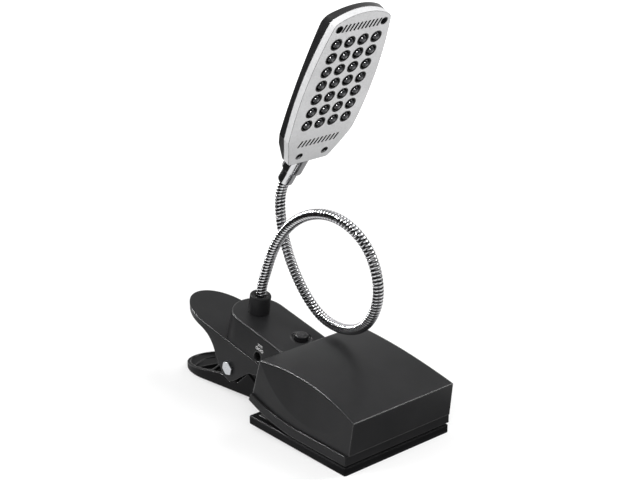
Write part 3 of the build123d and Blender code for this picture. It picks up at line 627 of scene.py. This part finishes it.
@dataclass
class Clip:
    """The sprung clip: lower jaw, upper jaw, their pads, the pivot and its spring."""

    pads: tuple[str, ...] = ("lower_grip_pad", "upper_grip_pad")
    plated: tuple[str, ...] = ("pivot_bolt", "pivot_nut")
    pivot: tuple[float, float] = (-46.0, 12.2)
    coil_radius: float = 5.3
    coil_pitch: float = 3.4
    coil_turns: float = 4.5
    coil_steps: int = 180
    wire_radius: float = 1.0
    wire_around: int = 12
    leg_back: float = 15.0
    leg_heights: tuple[float, float] = (-0.26, 28.85)
    leg_steps: int = 8

    def spring(self) -> None:
        """Winds the torsion spring: a round wire along a coil that runs out into two straight legs.

        The coil's points are (R cos a, -p a / 2 pi, R sin a) round the pivot, from its lowest point to its
        highest. The lower leg lies on the tray and the upper leg along the lever.
        """
        x, z = self.pivot
        half = self.coil_pitch * self.coil_turns / 2
        lowest = -math.pi / 2
        angle = np.linspace(lowest, lowest + 2 * math.pi * self.coil_turns, self.coil_steps)
        across = half - self.coil_pitch * (angle - lowest) / (2 * math.pi)
        round_pivot = [x + self.coil_radius * np.cos(angle), across, z + self.coil_radius * np.sin(angle)]
        coil = np.stack(round_pivot, axis=-1)
        low, high = np.array([(x - self.leg_back, y, up) for y, up in zip((half, -half), self.leg_heights)])
        run = np.linspace(0.0, 1.0, self.leg_steps, endpoint=False)[:, None]
        line = np.vstack([low + run * (coil[0] - low), coil, (high + run * (coil[-1] - high))[::-1]])
        ring = circles(unit(np.gradient(line, axis=0)), once_round(self.wire_around))
        made = surface("wound_spring", [STANCE.place(line[:, None] + self.wire_radius * ring)])
        coat(made, FINISHES.spring)
        bottom_and_top = np.array([[x, 0.0, z - self.coil_radius], [x, 0.0, z + self.coil_radius]])
        ends = STANCE.place(bottom_and_top).tolist()
        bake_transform(made)
        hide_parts("torsion_spring")
        LOG.info("%s replaces torsion_spring", made.name)

    def dress(self) -> None:
        """Dresses the clip's nodes and winds its spring."""
        dress(FINISHES.plate_black_shaded, "lower_jaw")
        dress(FINISHES.abs_black, "upper_jaw")
        dress(FINISHES.rubber, *self.pads)
        dress(FINISHES.zinc, *self.plated)
        self.spring()


@dataclass
class BatteryBox:
    """The sliding cover and what lies under it."""

    def dress(self) -> None:
        """Dresses the box's nodes."""
        dress(FINISHES.cover_black, "battery_cover")
        dress(FINISHES.abs_black, "battery_tray")
        dress(FINISHES.cell, "battery_cells")
        dress(FINISHES.zinc, "battery_contacts")


@dataclass
class SwitchHousing:
    """The housing on the lever with its button, inlet and gland.

    A plain printed mark stands over the inlet: the sign for direct current above the sign for a plug's two
    poles. Its bars are given by their middle and length, and its rings by their middle and radius.
    """

    lever_top: float = 21.6
    pitch_deg: float = LEVER_PITCH_DEG
    half_width: float = 18.4
    draft_deg: float = 4.7
    mark_place: tuple[float, float] = (-19.1, 10.2)
    mark_lift: float = 0.04
    stroke: float = 0.34
    bars: tuple[tuple[float, float, float], ...] = (
        (0.0, 2.0, 4.2),
        (-1.5, 1.2, 1.1),
        (0.0, 1.2, 1.1),
        (1.5, 1.2, 1.1),
        (-1.15, -0.9, 0.7),
        (1.15, -0.9, 0.7),
    )
    rings: tuple[tuple[float, float, float], ...] = (
        (-2.4, -0.9, 0.85),
        (0.0, -0.9, 0.75),
        (2.4, -0.9, 0.85),
    )
    ring_steps: int = 25

    def on_wall(self, flat: np.ndarray) -> np.ndarray:
        """Lays flat points on the housing's near wall.

        A point (u, w) goes to u along the lever and w up the wall, whose foot is half the width from the
        middle and which leans in by the draft.

        Args:
            flat: array of shape (..., 2) in millimetres.

        Returns:
            Points in metres of the row frame.
        """
        pitch, draft = math.radians(self.pitch_deg), math.radians(self.draft_deg)
        along = np.array([math.cos(pitch), 0.0, -math.sin(pitch)])
        square = np.array([math.sin(pitch), 0.0, math.cos(pitch)])
        up = square * math.cos(draft) + ACROSS * math.sin(draft)
        out = square * math.sin(draft) - ACROSS * math.cos(draft)
        foot = UP * self.lever_top - ACROSS * self.half_width + out * self.mark_lift
        return STANCE.place(foot + flat[..., :1] * along + flat[..., 1:] * up)

    def mark(self) -> None:
        """Prints the mark: bars as rectangles, rings as r (cos a, sin a) between two radii."""
        half = self.stroke / 2
        flats = []
        for u, w, length in self.bars:
            flats.append(np.meshgrid((u - length / 2, u + length / 2), (w - half, w + half)))
        turn = np.linspace(0.0, 2 * math.pi, self.ring_steps)
        for u, w, radius in self.rings:
            angle, r = np.meshgrid(turn, (radius + half, radius - half))
            flats.append((u + r * np.cos(angle), w + r * np.sin(angle)))
        grids = [self.on_wall(np.array(self.mark_place) + np.stack(flat, axis=-1)) for flat in flats]
        made = surface("inlet_mark", grids, around=False)
        coat(made, FINISHES.print_white)
        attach(made, body_of("switch_housing"))
        LOG.info("inlet_mark: %s", FINISHES.print_white.name)

    def dress(self) -> None:
        """Dresses the housing's nodes and prints its mark."""
        dress(FINISHES.cover_black, "switch_housing")
        dress(FINISHES.abs_black, "neck_gland")
        dress(FINISHES.cap_black, "power_button")
        dress(FINISHES.black_and_hole_shade, "switch_module", "dc_socket")
        dress(FINISHES.board, "control_board")
        dress(FINISHES.zinc, "gland_nut", "housing_screws")
        self.mark()


@dataclass
class Gooseneck:
    """The wound steel neck: one ribbed piece for each bend of its route.

    The route's corners are control points, taken from the gland's mouth. The neck's line is the curve that
    touches the middle of each run: for each corner P with run middles A and B it is
    (1-t)^2 A + 2t(1-t) P + t^2 B. The first two corners are on the gland's axis, one inside the gland and
    one past its mouth, and the last is in the ferrule's seat.
    """

    mouth: tuple[float, float, float] = (-37.3, 0.0, 58.5)
    pitch_deg: float = LEVER_PITCH_DEG
    gland_depth: float = 8.0
    gland_lead: float = 5.0
    ferrule_lean: float = 34.9
    ferrule_run: float = 6.4
    ferrule_seat: float = 6.0
    radius: float = 3.15
    groove_depth: float = 0.7
    rib_pitch: float = 2.25
    gap_shade_start: float = 0.45
    rib_samples: int = 10
    points_around: int = 28
    rough_samples: int = 50
    route: tuple[tuple[float, float, float], ...] = (
        (5.5, 0.0, 16.0),
        (11.0, 0.0, 30.0),
        (19.5, 0.0, 43.5),
        (30.5, 0.5, 55.0),
        (44.5, 1.0, 63.5),
        (60.5, 1.5, 67.5),
        (76.0, 2.5, 65.5),
        (89.0, 4.0, 57.0),
        (96.0, 5.5, 43.0),
        (96.0, 7.5, 27.0),
        (89.5, 9.5, 12.5),
        (78.5, 12.0, 1.0),
        (64.5, 15.0, -6.5),
        (49.0, 17.5, -10.5),
        (34.0, 18.5, -9.0),
        (22.5, 17.5, 0.0),
        (15.5, 14.5, 13.5),
        (11.5, 11.5, 28.0),
        (9.0, 9.5, 43.5),
        (8.5, 8.5, 57.5),
        (10.3, 8.5, 69.5),
    )

    def corners(self) -> np.ndarray:
        """Lists the corners of the route from inside the gland to inside the ferrule.

        Returns:
            An array of shape (corners, 3) in the clip's frame.
        """
        pitch, lean = math.radians(self.pitch_deg), math.radians(self.ferrule_lean)
        axis = np.array([math.sin(pitch), 0.0, math.cos(pitch)])
        out = np.array([math.sin(lean), 0.0, math.cos(lean)])
        mouth = np.array(self.mouth)
        inner = mouth + np.array(self.route)
        end = inner[-1] + out * (self.ferrule_run + self.ferrule_seat)
        return np.vstack([mouth - axis * self.gland_depth, mouth + axis * self.gland_lead, inner, end])

    def line(self, corners: np.ndarray, k: int, count: int) -> tuple[np.ndarray, np.ndarray]:
        """Works out the line of one bend by the class's formula, with the whole run at the neck's two ends.

        Args:
            corners: the route's corners.
            k: index of the bend's corner.
            count: points along the bend.

        Returns:
            Points and unit tangents.
        """
        last = len(corners) - 2
        start = corners[0] if k == 1 else (corners[k - 1] + corners[k]) / 2
        end = corners[-1] if k == last else (corners[k] + corners[k + 1]) / 2
        t = np.linspace(0.0, 1.0, count)[:, None]
        points = (1 - t) ** 2 * start + 2 * t * (1 - t) * corners[k] + t**2 * end
        tangents = 2 * (1 - t) * (corners[k] - start) + 2 * t * (end - corners[k])
        return points, unit(tangents)

    def bend(self, name: str, corners: np.ndarray, k: int, run: float) -> tuple[bpy.types.Object, float]:
        """Builds one ribbed bend: a circle carried along the line, whose radius dips in a helical groove.

        The radius is R - g (1 - sqrt(1 - u^2)), where u runs from -1 to 1 across each rib: u = 2 f - 1 with
        f the fraction left of s / p - a / 2 pi. Here s is the way along the neck, a the angle round it, p
        the pitch of the ribs and g the groove's depth.

        Args:
            name: the object's name.
            corners: the route's corners.
            k: index of the bend's corner.
            run: way along the neck at the bend's start, in millimetres.

        Returns:
            The object and the way along the neck at its end.
        """
        rough, _ = self.line(corners, k, self.rough_samples)
        length = float(np.linalg.norm(np.diff(rough, axis=0), axis=1).sum())
        count = int(length / self.rib_pitch * self.rib_samples) + 2
        points, tangents = self.line(corners, k, count)
        way = run + np.r_[0.0, np.cumsum(np.linalg.norm(np.diff(points, axis=0), axis=1))]
        angle = once_round(self.points_around)
        across_rib = 2.0 * np.mod(way[:, None] / self.rib_pitch - angle / (2 * math.pi), 1.0) - 1.0
        radius = self.radius - self.groove_depth * (1 - np.sqrt(1 - across_rib**2))
        made = surface(name, [STANCE.place(points[:, None] + circles(tangents, angle) * radius[:, :, None])])
        # Marks each rib's edges for the chrome's painted shade: nought on the rib, rising to one in the
        # groove.
        gap = np.clip((np.abs(across_rib) - self.gap_shade_start) / (1 - self.gap_shade_start), 0.0, 1.0)
        mark_points(made, FINISHES.chrome.gap, gap.ravel())
        return made, float(way[-1])

    def build(self) -> None:
        """Builds every bend, puts it on its node's body and dresses it."""
        corners = self.corners()
        run = 0.0
        for k in range(1, len(corners) - 1):
            node = f"neck_{k:02d}"
            made, run = self.bend(f"ribbed_{node}", corners, k, run)
            coat(made, FINISHES.chrome)
            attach(made, body_of(node))
            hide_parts(node)
            LOG.info("%s replaces %s", made.name, node)


@dataclass
class LampHead:
    """The paddle-shaped head with its LEDs, whose domes look a little out of their cups.

    The LEDs' heights are counted outwards from the bezel's face at the middle of their grid.
    """

    widest_hole: float = 9.0
    start_off: float = 0.02
    middle: tuple[float, float, float] = (24.754, 8.5, 202.063)
    lean_deg: float = 25.9
    led_columns: int = 4
    led_rows: int = 7
    led_pitch: tuple[float, float] = (9.5, 9.34)
    led_foot: float = -4.2
    led_flange: tuple[float, float] = (2.9, 1.0)
    led_radius: float = 2.5
    dome_middle: float = -1.1
    dome_end_deg: float = 84.0
    dome_steps: int = 9
    led_around: int = 20
    see_through_start_deg: float = 25.0

    def paint_hole_shade(self) -> None:
        """Paints shade on the walls of the bezel's holes and slots: faces that look at another face close by
        take the black finish, as painted shade.
        """
        bezel = frame["nodes"]["head_bezel"]
        mesh = bezel.data
        tree = BVHTree.FromPolygons([v.co for v in mesh.vertices], [p.vertices for p in mesh.polygons])
        scale = bezel.matrix_world.to_scale().x
        reach, off = self.widest_hole * MM / scale, self.start_off * MM / scale
        for face in mesh.polygons:
            hit = tree.ray_cast(face.center + face.normal * off, face.normal, reach)
            face.material_index = int(hit[0] is not None)

    def leds(self) -> None:
        """Builds the LEDs: a flange, a straight side and a dome turned about the way out of the face.

        The dome's points are R (cos b cos a, cos b sin a, sin b), with a round the LED and b up the dome.
        """
        lean = math.radians(self.lean_deg)
        up = np.array([math.sin(lean), 0.0, math.cos(lean)])
        out = np.array([math.cos(lean), 0.0, -math.sin(lean)])
        climb = np.radians(np.linspace(0.0, self.dome_end_deg, self.dome_steps))
        brim, thick = self.led_flange
        shoulder = self.led_foot + thick
        radius = np.r_[brim, brim, self.led_radius, self.led_radius * np.cos(climb)]
        height = np.r_[self.led_foot, shoulder, shoulder, self.dome_middle + self.led_radius * np.sin(climb)]
        angle = once_round(self.led_around)
        ring = ACROSS * np.cos(angle)[:, None] + up * np.sin(angle)[:, None]
        one = radius[:, None, None] * ring + height[:, None, None] * out
        columns = (np.arange(self.led_columns) - (self.led_columns - 1) / 2) * self.led_pitch[0]
        rows = (np.arange(self.led_rows) - (self.led_rows - 1) / 2) * self.led_pitch[1]
        spots = [np.array(self.middle) + x * ACROSS + y * up for y in rows for x in columns]
        made = surface("led_domes", [STANCE.place(one + spot) for spot in spots])
        # Marks each dome's crown for its painted pale see-through view: nought below the start angle, rising
        # to one at the top.
        start = math.radians(self.see_through_start_deg)
        below_dome = np.zeros(len(radius) - len(climb))
        core = np.r_[below_dome, np.clip((climb - start) / (climb[-1] - start), 0.0, 1.0)]
        mark_points(made, FINISHES.lens.core, np.tile(np.repeat(core, self.led_around), len(spots)))
        coat(made, FINISHES.lens)
        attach(made, body_of("led_lamps"))
        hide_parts("led_lamps")
        LOG.info("%s replaces led_lamps", made.name)

    def dress(self) -> None:
        """Dresses the head's nodes and builds its LEDs."""
        # The bezel's second finish is painted shade on its hole and slot walls.
        coat(frame["nodes"]["head_bezel"], FINISHES.silver, FINISHES.black_and_hole_shade)
        self.paint_hole_shade()
        LOG.info("head_bezel: %s, holes %s", FINISHES.silver.name, FINISHES.black_and_hole_shade.name)
        dress(FINISHES.shell_black, "head_shell")
        dress(FINISHES.black_and_hole_shade, "led_holder")
        self.leds()
        dress(FINISHES.board, "led_board")
        dress(FINISHES.blacked, "head_screws")
        dress(FINISHES.chrome, "neck_ferrule")
        dress(FINISHES.zinc, "ferrule_nut")


@dataclass(frozen=True)
class Lamp:
    """A soft rectangular studio light, which can show in reflections, light plain surfaces, or both.

    With the name of a piece in only, it lights that piece and no other.
    """

    name: str
    place: tuple[float, float, float]
    size: tuple[float, float]
    watts: float
    mirrored: bool = True
    spread: bool = True
    only: str = ""


@dataclass(frozen=True)
class Card:
    """A curved card round the lamp, between two angles taken from the way the camera looks."""

    name: str
    start_deg: float
    stop_deg: float
    colour: str


@dataclass(frozen=True)
class LaidCard:
    """A card on the floor, between two distances to the camera's right."""

    name: str
    start: float
    stop: float
    colour: str


@dataclass
class Studio:
    """White floor and surroundings, cards round about, soft lights and a camera at the photograph's angle.

    The camera's distance and target are millimetres in the clip's frame.
    """

    azimuth_deg: float = 49.06
    elevation_deg: float = 21.09
    distance: float = 910.27
    target: tuple[float, float, float] = (17.15, 0.0, 109.2)
    focal_px: float = 1607.0
    image_width_px: float = 640.0
    sensor_mm: float = 36.0
    clip_start: float = 0.01
    floor_half: float = 3.0
    floor_colour: str = "#bcbcbc"
    floor_roughness: float = 0.9
    floor_glow: tuple[float, float] = (0.5, 1.0)
    floor_fade: tuple[float, float] = (0.25, 0.9)
    world_strength: float = 0.5
    card_radius: float = 1.4
    card_heights: tuple[float, float] = (0.02, 1.5)
    card_sides: int = 24
    cards: tuple[Card, ...] = (
        Card("pale_card", -45.0, 45.0, "#f0f0f0"),
        Card("dark_card", 45.0, 315.0, "#262626"),
    )
    laid_cards: tuple[LaidCard, ...] = (
        LaidCard("laid_near", 0.02, 0.12, "#a0a0a0"),
        LaidCard("laid_right", 0.12, 0.4, "#ffffff"),
        LaidCard("laid_far", 0.4, 1.4, "#484848"),
        LaidCard("laid_left", -1.4, -0.16, "#262626"),
    )
    laid_height: float = 0.0015
    aim: tuple[float, float, float] = (0.0, 0.0, 0.08)
    lamps: tuple[Lamp, ...] = (
        Lamp("left", (-0.95, -0.34, 0.97), (0.16, 1.3), 34.0, spread=False),
        Lamp("glint", (1.15, -0.65, 0.3), (0.3, 0.3), 36.0, spread=False, only="led_domes"),
        Lamp("side", (-0.55, -1.25, 0.85), (0.8, 0.8), 12.0, mirrored=False),
        Lamp("back", (0.50, 0.85, 1.05), (0.8, 0.8), 11.0),
        Lamp("front", (1.3, -1.0, 0.9), (1.0, 1.0), 18.0, mirrored=False),
    )

    def camera(self) -> None:
        """Sets up the camera from the fitted angles, turned with the lamp's stance."""
        azimuth, elevation = math.radians(self.azimuth_deg), math.radians(self.elevation_deg)
        level = np.array([math.sin(azimuth), -math.cos(azimuth), 0.0])
        back = level * math.cos(elevation) + UP * math.sin(elevation)
        right = np.array([math.cos(azimuth), math.sin(azimuth), 0.0])
        axes = STANCE.turn(np.vstack([right, np.cross(back, right), back]))
        place = STANCE.place(np.array(self.target) + back * self.distance)
        data = bpy.data.cameras.new("photo_camera")
        data.sensor_width = self.sensor_mm
        data.lens = self.focal_px / self.image_width_px * self.sensor_mm
        data.clip_start = self.clip_start
        bpy.context.scene.camera = stand("photo_camera", data, axes, place)

    def seen(self, tree: bpy.types.NodeTree) -> bpy.types.NodeSocket:
        """Adds the nodes that tell the eye, bright metal and clear plastic from plain light.

        Args:
            tree: the tree that gets the nodes.

        Returns:
            An output of one for those rays and nought for the rest.
        """
        path = add(tree, "ShaderNodeLightPath")
        total = path.outputs["Is Camera Ray"]
        for ray in ("Is Glossy Ray", "Is Transmission Ray"):
            most = add(tree, "ShaderNodeMath", {"operation": "MAXIMUM"}, {0: total, 1: path.outputs[ray]})
            total = most.outputs[0]
        return total

    def floor(self) -> None:
        """Lays the pale floor, which glows to the eye and to bright metal so that it reads white.

        Near the lamp it glows less, so that the shadows stay.
        """
        sides = (-self.floor_half, self.floor_half)
        x, y = np.meshgrid(sides, sides)
        laid = surface("floor", [np.stack([x, y, np.zeros_like(x)], axis=-1)], around=False)
        material, tree, where = start_material("floor_white")
        way = add(tree, "ShaderNodeVectorMath", {"operation": "LENGTH"}, {0: where})
        fade = add(
            tree,
            "ShaderNodeMapRange",
            {
                "interpolation_type": "SMOOTHSTEP",
                "From Min": self.floor_fade[0],
                "From Max": self.floor_fade[1],
                "To Min": self.floor_glow[0],
                "To Max": self.floor_glow[1],
            },
            {"Value": way.outputs["Value"]},
        )
        glow = add(
            tree, "ShaderNodeMath", {"operation": "MULTIPLY"}, {0: self.seen(tree), 1: fade.outputs[0]}
        )
        shader = add(
            tree,
            "ShaderNodeBsdfPrincipled",
            {
                "Base Color": linear(self.floor_colour),
                "Roughness": self.floor_roughness,
                "Specular IOR Level": 0.0,
                "Emission Color": WHITE,
            },
            {"Emission Strength": glow.outputs[0]},
        )
        add(tree, "ShaderNodeOutputMaterial", links={"Surface": shader.outputs[0]})
        laid.data.materials.append(material)

    def hang(self, name: str, grid: np.ndarray, colour: str) -> None:
        """Puts up one card that is seen only in reflections.

        Args:
            name: the card's name.
            grid: its points.
            colour: its colour.
        """
        hung = surface(name, [grid], around=False)
        material, tree, _ = start_material(name)
        shader = add(tree, "ShaderNodeEmission", {"Color": linear(colour)})
        add(tree, "ShaderNodeOutputMaterial", links={"Surface": shader.outputs[0]})
        hung.data.materials.append(material)
        hung.visible_camera = False
        hung.visible_diffuse = False
        hung.visible_shadow = False

    def put_cards(self) -> None:
        """Stands cards round the lamp and lays some beside it, so that bright metal gets dark bands.

        A standing card's points are r (cos a, sin a) at two heights, taken clockwise so that it faces
        inwards. A laid card's points are s u + t v, with u to the camera's right and v away from it.
        """
        azimuth = math.radians(self.azimuth_deg)
        right = np.array([math.cos(azimuth), math.sin(azimuth), 0.0])
        away = np.cross(UP, right)
        away_angle = azimuth + math.pi / 2
        for card in self.cards:
            turn = np.radians(np.linspace(card.start_deg, card.stop_deg, self.card_sides))
            angle, height = np.meshgrid(away_angle - turn, self.card_heights)
            points = [self.card_radius * np.cos(angle), self.card_radius * np.sin(angle), height]
            self.hang(card.name, np.stack(points, axis=-1), card.colour)
        for card in self.laid_cards:
            s, t = np.meshgrid((card.start, card.stop), (-self.card_radius, self.card_radius))
            laid = s[..., None] * right + t[..., None] * away + UP * self.laid_height
            self.hang(card.name, laid, card.colour)

    def world(self) -> None:
        """Surrounds the lamp with even white, plain white to the eye, bright metal and clear plastic."""
        world = bpy.data.worlds.new("studio")
        bpy.context.scene.world = world
        world.use_nodes = True
        tree = world.node_tree
        tree.nodes.clear()
        strength = add(
            tree,
            "ShaderNodeMapRange",
            {"To Min": self.world_strength, "To Max": 1.0},
            {"Value": self.seen(tree)},
        )
        shade = add(tree, "ShaderNodeBackground", {"Color": WHITE}, {"Strength": strength.outputs[0]})
        add(tree, "ShaderNodeOutputWorld", links={"Surface": shade.outputs[0]})

    def light(self) -> None:
        """Hangs the soft lights, each turned to the lamp."""
        for lamp in self.lamps:
            data = bpy.data.lights.new(lamp.name, "AREA")
            data.shape = "RECTANGLE"
            data.size, data.size_y = lamp.size
            data.energy = lamp.watts
            back = unit(np.array(lamp.place) - np.array(self.aim))
            right = unit(np.cross(UP, back))
            axes = np.vstack([right, np.cross(back, right), back])
            hung = stand(lamp.name, data, axes, np.array(lamp.place))
            hung.visible_glossy = lamp.mirrored
            hung.visible_diffuse = lamp.spread
            if lamp.only:
                lit = bpy.data.collections.new(f"{lamp.name}_lit")
                lit.objects.link(bpy.data.objects[lamp.only])
                hung.light_linking.receiver_collection = lit

    def build(self) -> None:
        """Sets up the whole studio."""
        bpy.context.scene.view_settings.view_transform = "Standard"
        self.camera()
        self.floor()
        self.put_cards()
        self.world()
        self.light()


def main() -> None:
    """Builds the lamp's sub-assemblies in order and the studio round them."""
    logging.basicConfig(level=logging.INFO, format="%(message)s")
    Clip().dress()
    BatteryBox().dress()
    SwitchHousing().dress()
    Gooseneck().build()
    LampHead().dress()
    Studio().build()


if __name__ == "__main__":
    main()
